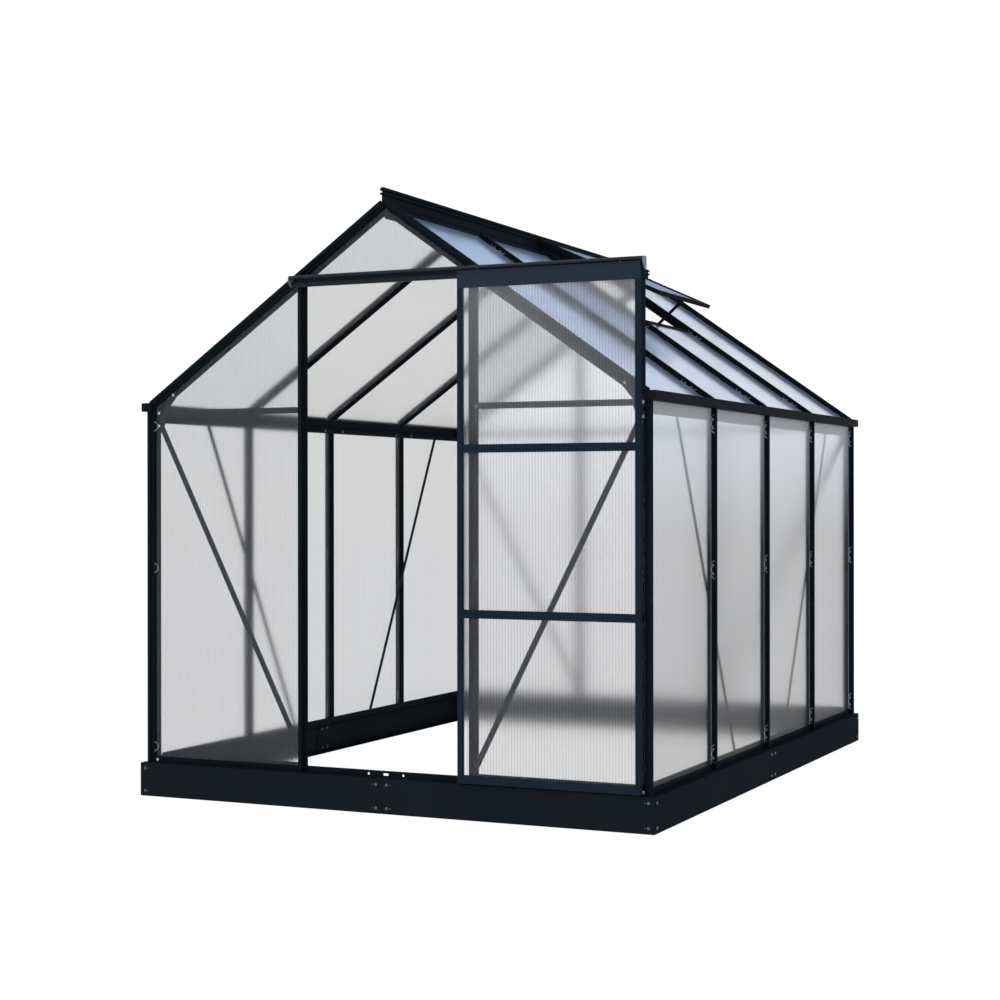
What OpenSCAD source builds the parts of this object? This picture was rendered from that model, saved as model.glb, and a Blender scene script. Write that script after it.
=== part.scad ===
// Small garden greenhouse: a dark coated aluminium frame of extruded glazing bars
// on a folded steel base, glazed with flat twin-wall sheets, with a sliding door
// hung from a track and a roof vent propped open.
// X runs to the right, Y to the back, Z up; the origin is on the ground, at the
// middle of the base. The door stands open, to the right of the doorway.

/* [House] */
// Width over the base
house_w = 1920; // [1700:10:2300]
// Length over the base
house_l = 2548; // [2200:4:3400]
// Height of the underside of the gutters
eaves_h = 1350; // [1200:5:1550]
// Slope of the roof, in degrees
roof_pitch = 35.1; // [32:0.1:38]

/* [Base frame] */
// Height of the folded base
base_h = 116; // [90:1:160]
// Thickness of the base sheet
base_t = 2; // [1.5:0.5:3]
// Width of the top flange of the base
base_top_w = 60; // [58:1:80]
// Width of the foot flange of the base
base_foot_w = 35; // [25:1:50]
// Gap at the seam in the middle of each side
base_seam = 1; // [0.5:0.5:2]
// Length of a splice plate behind a seam
splice_w = 100; // [90:2:140]
// Length of each leg of a corner angle
angle_leg = 50; // [40:1:60]

/* [Glazing bars] */
// Set-back of the bar noses from the base
nose_inset = 14; // [8:1:20]
// Depth of a bar from its nose to its flange
bar_depth = 25; // [22:1:30]
// Wall of the extruded sections
bar_t = 2; // [1.5:0.1:2.5]
// Thickness of a bar's web
web_t = 4; // [3:0.5:5]
// Width of a bar's nose
nose_w = 12; // [10:1:16]
// Thickness of a bar's nose
nose_t = 6; // [4:0.5:8]
// Width of a bar's flange
flange_w = 26; // [24:1:34]
// Width of the flange of a gable post
post_flange_w = 36; // [30:1:40]
// Width of the bolt channel behind a flange
channel_w = 16; // [14:1:20]
// Depth of the bolt channel
channel_d = 8; // [7:1:12]
// Width of the slot of the bolt channel
channel_slot = 8; // [6:1:10]
// Reach of the flanges of a corner section from its noses
corner_reach = 46; // [42:1:56]
// Width of each nose of a corner section, and of the bevel between them
corner_nose = 8; // [6:1:10]

/* [Panes] */
// Thickness of the glazing sheets
pane_t = 6; // [4:0.5:8]
// Gap between the edge of a sheet and a bar
pane_gap = 3; // [2:0.5:5]

/* [Sills and gutters] */
// Height of a sill above the base
sill_h = 20; // [16:1:30]
// Radius of the drain holes in the doorway's sill
drain_r = 4; // [3:0.5:5]
// Distance of the outer drain holes from the middle
drain_x = 65; // [50:1:90]
// Length of the drain slot in the middle, between the centres of its ends
drain_slot = 12; // [8:1:20]
// Reach of the slot in the sill's inner wall past the outer drain holes
drain_reach = 20; // [14:1:30]
// Height of the bolting fin of the sills
sill_fin_h = 10; // [8:1:24]
// Height of the bolting fin of the gutters
gutter_fin_h = 20; // [16:1:30]
// Width of a gutter
gutter_w = 41; // [36:1:50]
// Height of a gutter
gutter_h = 30; // [24:1:38]
// Rise of the roof's seat over the underside of the gutter
seat_rise = 14; // [12:0.5:18]
// Drop of the wall seat under the gutter
wall_seat = 20; // [16:1:26]
// Length of the bars past the wall glazing at the eaves
bar_overhang = 14; // [10:1:18]

/* [Ridge] */
// Thickness of the ridge fin
ridge_t = 4; // [3:0.5:6]
// Height of the ridge above the roof flanges
ridge_rise = 62; // [58:1:80]
// Depth of the ridge below the roof flanges
ridge_drop = 38; // [32:1:50]
// Width of the cap and of the bead of the ridge
ridge_cap_w = 18; // [14:1:24]
// Reach of the ridge's cover strips
ridge_wing = 42; // [34:1:60]

/* [Gables] */
// Distance of the door posts and rear posts from the middle
gable_post_x = 321; // [300:1:350]
// Height of the gable crossbars
crossbar_h = 21; // [14:1:30]
// Drop of the crossbars under the eaves
crossbar_drop = 16; // [10:1:20]
// Drop of the gussets under the eaves
gusset_drop = 74; // [60:1:90]
// Reach of the gussets along the rafters, past the corner posts
gusset_reach = 63; // [50:1:110]
// Width of a brace
brace_w = 20; // [14:1:26]

/* [Sliding door] */
// Width of the door
door_w = 633; // [600:1:690]
// Where the left edge of the open door stands
door_x = 285; // [270:1:290]
// Drop of the track under the tops of the door posts
track_drop = 4; // [2:1:30]
// Height of the track
track_h = 38; // [34:1:46]
// Width of a door stile
stile_w = 18; // [16:1:26]
// Depth of the door frame
door_depth = 16; // [14:1:20]
// Height of the two rails that divide the door
rail_h = 27; // [18:1:32]
// Height of the bottom rail
kick_h = 26; // [20:1:50]
// Height of the plate that hangs the door
header_h = 56; // [46:1:70]
// Radius of a door roller
roller_r = 6; // [5:0.5:6.5]

/* [Roof vent] */
// Length of the vent down the slope
vent_l = 552; // [500:2:560]
// Angle by which the vent stands open, in degrees
vent_open = 10.7; // [8:0.1:12]
// Thickness of the vent frame
vent_t = 16; // [12:1:18]
// Width of the vent frame's members
vent_rail = 18; // [16:1:26]
// Distance of the vent's lintel from the middle of the house
vent_lintel_x = 410; // [380:2:414]

/* [Hidden] */

coat = "#262d35";
coat_light = "#3a434d";
steel_coat = "#1a1f24";
sheet = "#c9d3dc";
roof_sheet = "#a9bad3";
bright = "#b9bec4";
$fn = 32;

// Planes of the noses and of the flange faces that the panes bear on
half_w = house_w / 2;
half_l = house_l / 2;
nose_x = half_w - nose_inset;
nose_y = half_l - nose_inset;
wall_x = nose_x - bar_depth;
wall_y = nose_y - bar_depth;
bay = wall_y / 2;
bar_places = [-bay, 0, bay];
corner_in = bar_depth + bar_t;
corner_body = 12;
pane_edge = corner_in + pane_gap;
flange_end_x = nose_x - corner_reach;
flange_end_y = nose_y - corner_reach;
fin_in = bar_t + channel_d;
sill_top = base_h + sill_h;
web_clear = web_t / 2 + pane_gap;

// Roof: the flange face that the roof panes bear on meets the middle at roof_z
roof_cos = cos(roof_pitch);
roof_sin = sin(roof_pitch);
roof_tan = tan(roof_pitch);
seat_x = wall_x - bar_t / 2;
roof_z = eaves_h + seat_rise + bar_t / roof_cos + roof_tan * seat_x;
nose_z = roof_z + bar_depth / roof_cos;
bar_end_x = wall_x + bar_overhang;
slope_l = half_w / roof_cos + bar_depth;
ridge_top = roof_z + ridge_rise;
ridge_face = ridge_t / 2;
ridge_end = nose_y + 2;
wing_t = 2;
wing_clear = 2;
hinge_lip = 7;
hinge_z = roof_z + 37;
cap_drop = 11;

// Gutters
gutter_x = wall_x + gutter_w;
gutter_lip = 8;
gutter_end = nose_y + 2;
cap_t = 2;

// Track and door, from the noses of the door posts forward
track_t = 2;
track_z = round(roof_line(corner_reach, gable_post_x) - track_drop);
track_back = nose_y + track_t;
track_left = gable_post_x + 22;
track_right = wall_x + 6;
lip_out = 12;
lip_h = 14;
hood_out = 30;
hood_r = 12;
move_gap = 5;
door_back = track_back + move_gap + 1;
door_front = door_back + door_depth;
header_t = 5;
header_back = door_front - header_t;
roller_gap = 0.3;
roller_z = track_z + lip_h + roller_gap + roller_r;
roller_w = 8;
roller_inset = 70;
header_top = roller_z + 3;
header_low = header_top - header_h;
door_low = base_h + move_gap;
stile_top = track_z - move_gap;
groove = 7;
rail_places = [for (i = [1, 2]) round(door_low + i * (header_low - door_low) / 3)];
pane_slack = 1;
lintel_rise = 28;
lintel_z = track_z + lintel_rise;
strut_w = 20;
strut_x = track_right - strut_w;

// Vent
vent_angle = roof_pitch - vent_open;
vent_hinge_x = ridge_face + hinge_lip;
vent_hinge_z = hinge_z + 4;
vent_bay = [0, bay];
vent_side = nose_w / 2 + pane_gap;
vent_y = vent_bay[0] + vent_side;
vent_w = vent_bay[1] - vent_bay[0] - 2 * vent_side;
vent_groove = 8;
lintel_s = vent_lintel_x / roof_cos;
stay_w = 12;
stay_t = 3;
stay_clear = 18;
stay_tail = 0.85;

// Height, at x, of the plane that lies v below the roof's noses
function roof_line(v, x) = nose_z - v / roof_cos - roof_tan * abs(x);

// Outline of a flat bar of width w from point p to point q
function flat_bar(p, q, w) =
  let (d = (q - p) / norm(q - p), n = [-d[1], d[0]] * w / 2)
  [p + n, q + n, q - n, p - n];

// Quarter arc about a centre, from angle a to angle b
function arc(c, r, a, b) = [for (i = [0:6]) c + r * [cos(a + (b - a) * i / 6), sin(a + (b - a) * i / 6)]];

module both_sides() {
  children();
  mirror([1, 0, 0]) children();
}

module both_ends() {
  children();
  mirror([0, 1, 0]) children();
}

// Extrudes an outline in X and Z along Y, centred
module along_y(l) {
  rotate([90, 0, 0]) linear_extrude(l, center = true) children();
}

// Extrudes an outline in X and Z from y back by t
module gable_plate(y, t) {
  translate([0, y + t, 0]) rotate([90, 0, 0]) linear_extrude(t) children();
}

// Extrudes an outline in Y and Z along X from x
module along_x(x, l) {
  translate([x, 0, 0]) rotate([90, 0, 90]) linear_extrude(l) children();
}

// Frame on the right roof slope: X back, Y out of the roof, Z down the slope
module down_slope() {
  translate([0, 0, roof_z]) rotate([0, 90 + roof_pitch, 0]) rotate([0, 0, 90]) children();
}

module below_roof(v) {
  along_y(house_l)
    polygon([[-half_w, 0], [half_w, 0], [half_w, roof_line(v, half_w)],
             [0, roof_line(v, 0)], [-half_w, roof_line(v, half_w)]]);
}

// Glazing bar section: flange face on the X axis, nose outward along Y
module bar_flange(w = flange_w) {
  translate([-w / 2, -bar_t]) square([w, bar_t]);
  translate([-web_t / 2, -bar_t]) square([web_t, bar_t + pane_t]);
}

module bar_channel() {
  for (side = [0, 1]) mirror([side, 0])
    polygon([[channel_w / 2, -bar_t], [channel_w / 2, -fin_in], [channel_slot / 2, -fin_in],
             [channel_slot / 2, bar_t - fin_in], [channel_w / 2 - bar_t, bar_t - fin_in],
             [channel_w / 2 - bar_t, -bar_t]]);
}

module bar_nose() {
  translate([-web_t / 2, pane_t]) square([web_t, bar_depth - pane_t]);
  translate([-nose_w / 2, bar_depth - nose_t]) square([nose_w, nose_t]);
}

module bar_section() {
  bar_flange();
  bar_channel();
  bar_nose();
}

// Corner section, measured in from the two nose planes
module corner_section() {
  n = 2 * corner_nose;
  polygon([[corner_nose, 0], [n, 0], [n, corner_body], [corner_in, corner_body],
           [corner_in, bar_depth], [corner_reach, bar_depth], [corner_reach, corner_in],
           [corner_in, corner_in], [corner_in, corner_reach], [bar_depth, corner_reach],
           [bar_depth, corner_in], [corner_body, corner_in], [corner_body, n], [0, n], [0, corner_nose]]);
}

// One side of the base: a folded channel, mitred at the corners, in two lengths
module base_side(l, out) {
  difference() {
    intersection() {
      along_x(-l / 2, l)
        polygon([[-out, 0], [base_foot_w - out, 0], [base_foot_w - out, base_t], [base_t - out, base_t],
                 [base_t - out, base_h - base_t], [base_top_w - out, base_h - base_t],
                 [base_top_w - out, base_h], [-out, base_h]]);
      linear_extrude(base_h)
        polygon([[-l / 2, -out], [l / 2, -out], [l / 2 - base_top_w, base_top_w - out],
                 [base_top_w - l / 2, base_top_w - out]]);
    }
    translate([-base_seam / 2, -out - 1, -1]) cube([base_seam, base_top_w + 2, base_h + 2]);
  }
}

module base_front() color(steel_coat) base_side(house_w, half_l);
module base_rear() color(steel_coat) rotate(180) base_side(house_w, half_l);
module base_left() color(steel_coat) rotate(-90) base_side(house_l, half_w);
module base_right() color(steel_coat) rotate(90) base_side(house_l, half_w);

// Plates bolted behind the seams of the base
module base_splice_plates() {
  h = base_h - 2 * base_t;
  color(steel_coat) {
    both_ends() translate([-splice_w / 2, base_t - half_l, base_t]) cube([splice_w, base_t, h]);
    both_sides() translate([half_w - 2 * base_t, -splice_w / 2, base_t]) cube([base_t, splice_w, h]);
  }
}

// Angles bolted inside the corners of the base
module base_corner_angles() {
  h = base_h - 2 * base_t;
  color(steel_coat) both_ends() both_sides()
    translate([half_w - base_t, base_t - half_l, base_t]) mirror([1, 0, 0]) {
      cube([angle_leg, base_t, h]);
      cube([base_t, angle_leg, h]);
    }
}

// Sill: an inverted channel that the panes stand on, with a fin for the bolts inside
module sill_channel(out) {
  inner = out - fin_in - bar_t;
  polygon([[inner, base_h], [inner + bar_t, base_h], [inner + bar_t, sill_top - bar_t],
           [out + pane_t - bar_t, sill_top - bar_t], [out + pane_t - bar_t, base_h],
           [out + pane_t, base_h], [out + pane_t, sill_top], [inner, sill_top]]);
}

module sill_fin(out) {
  translate([out - fin_in - bar_t, sill_top - bar_t]) square([bar_t, sill_fin_h + bar_t]);
}

module gable_sill() {
  w = wall_x + pane_t;
  rotate([90, 0, 90]) linear_extrude(2 * w, center = true) sill_channel(wall_y);
}

module rear_sill() {
  color(coat) {
    gable_sill();
    rotate([90, 0, 90]) linear_extrude(2 * flange_end_x, center = true) sill_fin(wall_y);
  }
}

// The front sill has no fin in the doorway, but drain holes in its face and a slot behind them
module front_sill() {
  fin_from = gable_post_x - channel_w / 2;
  hole_z = base_h + sill_h / 2;
  slot_half = drain_x + drain_reach;
  color(coat) mirror([0, 1, 0]) {
    difference() {
      gable_sill();
      translate([-slot_half, wall_y - fin_in - 2 * bar_t, base_h + bar_t])
        cube([2 * slot_half, 3 * bar_t, sill_h - 3 * bar_t]);
      for (x = [drain_slot / 2, drain_x]) both_sides() translate([x, wall_y - fin_in + bar_t, hole_z])
        rotate([-90, 0, 0]) cylinder(r = drain_r, h = fin_in + pane_t);
      translate([-drain_slot / 2, wall_y - fin_in + bar_t, hole_z - drain_r])
        cube([drain_slot, fin_in + pane_t, 2 * drain_r]);
    }
    both_sides() along_x(fin_from, flange_end_x - fin_from) sill_fin(wall_y);
  }
}

module side_sill() {
  along_y(2 * (wall_y - fin_in - bar_t)) sill_channel(wall_x);
  along_y(2 * flange_end_y) sill_fin(wall_x);
}

module right_sill() color(coat) side_sill();
module left_sill() color(coat) mirror([1, 0, 0]) side_sill();

// Corner posts stand on the sills, and their noses run down to the base
module corner_post() {
  sill_edge = bar_depth - pane_t;
  translate([nose_x, -nose_y, 0]) mirror([1, 0, 0]) {
    translate([0, 0, base_h]) linear_extrude(sill_h) difference() {
      corner_section();
      translate([sill_edge, sill_edge]) square(corner_reach);
    }
    translate([0, 0, sill_top]) linear_extrude(eaves_h - sill_top) corner_section();
  }
}

module corner_posts() color(coat) both_ends() both_sides() corner_post();

// Gable posts: the flange stops under the rafter's flange and the nose under its body
module gable_posts() {
  both_sides() {
    intersection() {
      translate([gable_post_x, wall_y, sill_top]) linear_extrude(nose_z - sill_top) {
        bar_flange(post_flange_w);
        bar_channel();
      }
      below_roof(corner_reach);
    }
    intersection() {
      translate([gable_post_x, wall_y, base_h]) linear_extrude(nose_z - base_h) bar_nose();
      below_roof(corner_in);
    }
  }
}

module rear_posts() color(coat) gable_posts();
module door_posts() color(coat) mirror([0, 1, 0]) gable_posts();

// Wall bars: flange and channel between the sill and the gutter's seat
module wall_bars() {
  for (y = bar_places) translate([wall_x, y, 0]) rotate(-90) {
    translate([0, 0, sill_top]) linear_extrude(eaves_h - wall_seat - sill_top) {
      bar_flange();
      bar_channel();
    }
    translate([0, 0, base_h]) linear_extrude(eaves_h - base_h) bar_nose();
  }
}

module right_wall_bars() color(coat) wall_bars();
module left_wall_bars() color(coat) mirror([1, 0, 0]) wall_bars();

// Gutter with the roof's seat on its inner wall, and the walls' seat and fin below
module gutter() {
  seat_in = wall_x - bar_t;
  fin_x = wall_x - fin_in - bar_t;
  low = eaves_h - wall_seat;
  top = eaves_h + gutter_h;
  along_y(2 * gutter_end)
    polygon([[seat_in, eaves_h], [gutter_x, eaves_h], [gutter_x, top], [gutter_x - gutter_lip, top],
             [gutter_x - gutter_lip, top - bar_t], [gutter_x - bar_t, top - bar_t],
             [gutter_x - bar_t, eaves_h + bar_t], [wall_x, eaves_h + bar_t],
             [wall_x, roof_line(corner_in, wall_x)], [seat_in, roof_line(corner_in, seat_in)]]);
  along_y(2 * flange_end_y)
    polygon([[seat_in, eaves_h], [seat_in, low + bar_t], [fin_x, low + bar_t], [fin_x, low - gutter_fin_h],
             [fin_x + bar_t, low - gutter_fin_h], [fin_x + bar_t, low], [wall_x, low], [wall_x, eaves_h]]);
}

module right_gutter() color(coat) gutter();
module left_gutter() color(coat) mirror([1, 0, 0]) gutter();

module gutter_end_caps() {
  color(coat) both_ends() both_sides()
    translate([wall_x - bar_t, gutter_end, eaves_h]) cube([gutter_w + bar_t, cap_t, gutter_h]);
}

// Ridge: a fin with a bolting bead below, hinge lips, a curled cap and cover strips
module ridge_beam() {
  r = ridge_cap_w / 2;
  low = roof_z - ridge_drop;
  color(coat) {
    along_y(2 * ridge_end) {
      translate([-ridge_face, roof_z]) square([ridge_t, ridge_rise - 2]);
      polygon([[-r, ridge_top - cap_drop], [-r, ridge_top - 4], [4 - r, ridge_top], [r - 4, ridge_top],
               [r, ridge_top - 4], [r, ridge_top - cap_drop], [r - 2, ridge_top - cap_drop],
               [r - 2, ridge_top - 5], [2 - r, ridge_top - 5], [2 - r, ridge_top - cap_drop]]);
      for (side = [0, 1]) mirror([side, 0])
        polygon([[0, hinge_z], [ridge_face + hinge_lip, hinge_z], [ridge_face + hinge_lip, hinge_z + 8],
                 [ridge_face + hinge_lip - 2, hinge_z + 8], [ridge_face + hinge_lip - 2, hinge_z + 2],
                 [0, hinge_z + 2]]);
    }
    along_y(2 * (wall_y - pane_t)) {
      translate([-ridge_face, low]) square([ridge_t, ridge_drop]);
      translate([-r + 1, low]) square([2 * r - 2, 12]);
    }
    mirror([1, 0, 0]) ridge_cover(-flange_end_y, flange_end_y);
    ridge_cover(-flange_end_y, vent_bay[0] + nose_w / 2);
    ridge_cover(vent_bay[1] - nose_w / 2, flange_end_y);
  }
}

module ridge_cover(from, to) {
  over_pane = bar_depth - pane_t;
  over_wing = over_pane - wing_t;
  gable_plate(from, to - from)
    polygon([[0, roof_line(over_pane, 0)], [ridge_wing, roof_line(over_pane, ridge_wing)],
             [ridge_wing, roof_line(over_wing, ridge_wing)], [0, roof_line(over_wing, 0)]]);
}

// What the roof members leave free for the ridge fin and beyond their lower ends
module trim_slope() {
  difference() {
    children();
    translate([ridge_face - house_w, -house_l, 0]) cube([house_w, 2 * house_l, 2 * nose_z]);
    translate([bar_end_x, -house_l, 0]) cube([house_w, 2 * house_l, 2 * nose_z]);
  }
}

// Gable rafters: the corner section down the slope, notched over the post and gutter
module rafter_pair() {
  post_in = flange_end_x - 2;
  seat_in = wall_x - bar_t - 2;
  rest = eaves_h + bar_t;
  both_sides() difference() {
    trim_slope() down_slope() linear_extrude(slope_l)
      translate([-nose_y, bar_depth]) mirror([0, 1]) corner_section();
    along_y(2 * house_l)
      polygon([[post_in, base_h], [post_in, rest], [seat_in, rest], [seat_in, roof_line(corner_in, seat_in)],
               [half_w, roof_line(corner_in, half_w)], [half_w, base_h]]);
  }
}

module front_rafters() color(coat) rafter_pair();
module rear_rafters() color(coat) mirror([0, 1, 0]) rafter_pair();

// Roof bars: the noses stop at the ridge's cover strips, the channels inside the wall
module roof_bars() {
  wing_end = (ridge_wing + wing_clear) / roof_cos;
  channel_end = (wall_x - fin_in - bar_t) / roof_cos;
  for (y = bar_places) trim_slope() down_slope() translate([y, 0, 0]) {
    linear_extrude(slope_l) bar_flange();
    linear_extrude(channel_end) bar_channel();
    translate([0, 0, wing_end]) linear_extrude(slope_l - wing_end) bar_nose();
  }
}

module right_roof_bars() color(coat) roof_bars();
module left_roof_bars() color(coat) mirror([1, 0, 0]) roof_bars();

// Gussets that tie the corner posts to the rafters
gusset_t = 3;
gusset_lap = 26;
gusset_x = flange_end_x - gusset_lap;
gusset_low = eaves_h - gusset_drop;
crossbar_low = eaves_h - crossbar_drop;
crossbar_t = 2;

module gusset_outline() {
  out = wall_x - bar_t - 1;
  tab = flange_end_x - gusset_reach;
  polygon([[out, gusset_low], [out - brace_w - 3, gusset_low], [gusset_x, crossbar_low],
           [gusset_x, crossbar_low + crossbar_h], [tab, roof_line(corner_reach, tab)],
           [tab, roof_line(corner_in, tab)], [out, roof_line(corner_in, out)]]);
}

module corner_gussets() {
  color(coat_light) both_ends() both_sides()
    gable_plate(corner_in - nose_y, gusset_t) gusset_outline();
}

// Crossbars behind the gable panes at the height of the eaves
module crossbar(from, to) {
  gable_plate(nose_y - corner_in - crossbar_t, crossbar_t)
    translate([from, crossbar_low]) square([to - from, crossbar_h]);
}

module gable_crossbars() {
  beside_post = gable_post_x + channel_w / 2;
  between = gable_post_x - channel_w / 2;
  color(coat_light) {
    both_ends() both_sides() crossbar(beside_post, gusset_x);
    crossbar(-between, between);
  }
}

// Braces from the gussets to the feet of the gable posts
module gable_braces() {
  foot_x = gable_post_x + channel_w / 2;
  out = wall_x - bar_t - brace_w;
  color(coat_light) both_ends() both_sides() intersection() {
    gable_plate(corner_in + gusset_t - nose_y, crossbar_t)
      polygon(flat_bar([out, gusset_low + brace_w], [foot_x - brace_w, sill_top - brace_w / 4], brace_w));
    translate([foot_x, -half_l, sill_top]) cube([house_w, half_l, eaves_h]);
  }
}

// Braces inside the side walls, from the gutter's fin to the sill's fin
module wall_braces() {
  x = wall_x - fin_in - bar_t - crossbar_t;
  top = [wall_y - bay / 2, eaves_h - wall_seat - gutter_fin_h / 2];
  foot = [wall_y - 1.5 * bay, sill_top + sill_fin_h / 2];
  color(coat_light) both_ends() both_sides()
    along_x(x, crossbar_t) polygon(flat_bar(top, foot, brace_w));
}

// Bar over the doorway, between the door posts
module door_lintel() {
  flange_half = gable_post_x - post_flange_w / 2;
  nose_half = gable_post_x - nose_w / 2;
  color(coat) {
    intersection() {
      translate([0, -wall_y, lintel_z]) rotate([90, 0, 90])
        linear_extrude(2 * flange_half, center = true) rotate(90) bar_flange();
      below_roof(corner_reach);
    }
    intersection() {
      translate([0, -wall_y, lintel_z]) rotate([90, 0, 90])
        linear_extrude(2 * nose_half, center = true) rotate(90) bar_nose();
      below_roof(corner_in);
    }
  }
}

// Track: a back plate with the rollers' lip below and a rounded hood above
module door_track() {
  top = track_z + track_h;
  bend = [-(track_back + hood_out - hood_r), top - hood_r];
  color(coat) along_x(-track_left, track_left + track_right)
    polygon(concat(
      [[-nose_y, top], [-nose_y, track_z], [-track_back - lip_out, track_z],
       [-track_back - lip_out, track_z + lip_h], [track_t - track_back - lip_out, track_z + lip_h],
       [track_t - track_back - lip_out, track_z + track_t], [-track_back, track_z + track_t],
       [-track_back, top - track_t]],
      arc(bend, hood_r - track_t, 90, 180), arc(bend, hood_r, 180, 90)));
}

// Flat strut that carries the free end of the track from the end of the rafter
module track_strut() {
  low = eaves_h + gutter_h + 2;
  color(coat) translate([strut_x, -track_back, low]) cube([strut_w, track_t, track_z - low]);
}

// Panes of the gables, in one plane outside the flanges, cut to the roof's slope
module gable_pane(from, to, low) {
  intersection() {
    translate([from, wall_y, low]) cube([to - from, pane_t, nose_z - low]);
    below_roof(pane_edge);
  }
}

module gable_side_panes() {
  both_sides() gable_pane(gable_post_x + web_clear, nose_x - pane_edge, sill_top);
}

module gable_middle_pane(low) {
  w = gable_post_x - web_clear;
  gable_pane(-w, w, low);
}

module front_gable_panes() {
  color(sheet) mirror([0, 1, 0]) {
    gable_side_panes();
    gable_middle_pane(lintel_z + web_t / 2);
  }
}

module rear_gable_panes() {
  color(sheet) {
    gable_side_panes();
    gable_middle_pane(sill_top);
  }
}

// Edges of the four bays along a side, between the corners and the bars
end_y = nose_y - pane_edge;
bay_edges = [[-end_y, -bay - web_clear], [web_clear - bay, -web_clear],
             [web_clear, bay - web_clear], [bay + web_clear, end_y]];

module wall_panes() {
  for (e = bay_edges) translate([wall_x, e[0], sill_top]) cube([pane_t, e[1] - e[0], eaves_h - sill_top]);
}

module right_wall_panes() color(sheet) wall_panes();
module left_wall_panes() color(sheet) mirror([1, 0, 0]) wall_panes();

module roof_pane(edges, from) {
  trim_slope() down_slope() translate([edges[0], 0, from]) cube([edges[1] - edges[0], pane_t, slope_l - from]);
}

module left_roof_panes() {
  color(roof_sheet) mirror([1, 0, 0]) for (e = bay_edges) roof_pane(e, pane_gap);
}

// On the right the third bay has the vent, and a short pane below its lintel
module right_roof_panes() {
  color(roof_sheet) for (i = [0:3]) roof_pane(bay_edges[i], i == 2 ? lintel_s - pane_gap : pane_gap);
}

// Lintel under the vent: a flange between the bars, an upstand and a lip over the pane
module vent_lintel() {
  edge = flange_w / 2;
  stand = 10;
  lip = pane_t + 2;
  color(coat) down_slope() translate([vent_bay[0] + edge, 0, lintel_s]) rotate([90, 0, 90])
    linear_extrude(vent_bay[1] - vent_bay[0] - 2 * edge)
      polygon([[-bar_t, -8], [-bar_t, edge], [0, edge], [0, -6], [pane_t, -6], [pane_t, 12],
               [lip, 12], [lip, -6], [stand, -6], [stand, -8]]);
}

// Frame on the propped vent: X back, Y out of the vent, Z down its slope
module on_vent() {
  translate([vent_hinge_x, vent_y, vent_hinge_z]) rotate([0, 90 + vent_angle, 0]) rotate([0, 0, 90]) children();
}

module vent_block() {
  on_vent() translate([0, -vent_t / 2, -vent_t]) cube([vent_w, vent_t, vent_l + vent_t]);
}

// A rectangle inset from the vent's edges, of thickness t
module vent_sheet(inset, t) {
  on_vent() translate([inset, -t / 2, inset]) cube([vent_w - 2 * inset, t, vent_l - 2 * inset]);
}

module vent_frame() {
  color(coat) difference() {
    vent_block();
    vent_sheet(vent_rail, 2 * vent_t);
    vent_sheet(vent_rail - vent_groove, pane_t);
    translate([vent_hinge_x - house_w, -house_l, 0]) cube([house_w, 2 * house_l, 2 * nose_z]);
  }
}

module vent_pane() color(roof_sheet) vent_sheet(vent_rail - vent_groove, pane_t);

// Stay that props the vent: a flat bar on edge under its bottom rail, down over the lintel
module vent_stay() {
  edge = [lintel_s * roof_cos, roof_z - lintel_s * roof_sin];
  over = edge + [2, stay_clear + stay_w / 2];
  top = [vent_hinge_x + (vent_l - vent_rail / 2) * cos(vent_angle),
         vent_hinge_z - (vent_l - vent_rail / 2) * sin(vent_angle)];
  foot = over + (over - top) * stay_tail;
  color(coat) difference() {
    gable_plate(vent_y + vent_w / 2 - stay_t / 2, stay_t) polygon(flat_bar(foot, top, stay_w));
    vent_block();
  }
}

// Door frame sections, grooved for the panes, with the front face at Y = 0
module stile_section() {
  front = (door_depth - pane_t) / 2;
  back = front + pane_t;
  polygon([[0, 0], [stile_w, 0], [stile_w, front], [stile_w - groove, front], [stile_w - groove, back],
           [stile_w, back], [stile_w, door_depth], [0, door_depth]]);
}

module door_stiles() {
  middle = door_x + door_w / 2;
  color(coat) translate([middle, 0, 0]) both_sides() translate([-door_w / 2, -door_front, 0]) difference() {
    translate([0, 0, door_low]) linear_extrude(stile_top - door_low) stile_section();
    translate([-1, -1, header_low]) cube([stile_w + 2, header_t + 1, header_h]);
  }
}

// A rail between the stiles, grooved above and below where a pane meets it
module door_rail(z, h, depth, grooves) {
  back = door_depth - (door_depth - pane_t) / 2;
  color(coat) difference() {
    translate([door_x + stile_w, -door_back - depth, z]) cube([door_w - 2 * stile_w, depth, h]);
    for (g = grooves) translate([door_x, -door_front + back - pane_t, z + g]) cube([door_w, pane_t, groove]);
  }
}

module door_rails() {
  door_rail(door_low, kick_h, door_depth, [kick_h - groove]);
  for (z = rail_places) door_rail(z, rail_h, door_depth, [0, rail_h - groove]);
  door_rail(header_low, stile_top - header_low, door_depth - header_t, [0]);
}

module door_header() {
  color(coat) translate([door_x, -door_front, header_low]) cube([door_w, header_t, header_h]);
}

module door_panes() {
  front = -door_front + (door_depth - pane_t) / 2;
  edge = stile_w - groove + pane_slack;
  lows = [door_low + kick_h - groove, rail_places[0] + rail_h - groove, rail_places[1] + rail_h - groove];
  tops = [rail_places[0] + groove, rail_places[1] + groove, header_low + groove];
  color(sheet) for (i = [0:2]) translate([door_x + edge, front, lows[i]])
    cube([door_w - 2 * edge, pane_t, tops[i] - pane_slack - lows[i]]);
}

// Rollers on stub axles behind the header plate
module door_rollers() {
  axle_r = 2.5;
  face = header_back - 2;
  color(bright) for (x = [door_x + roller_inset, door_x + door_w - roller_inset])
    translate([x, 0, roller_z]) rotate([90, 0, 0]) {
      translate([0, 0, face - roller_w]) cylinder(r = roller_r, h = roller_w);
      translate([0, 0, face]) cylinder(r = axle_r, h = header_back - face);
    }
}

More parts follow.
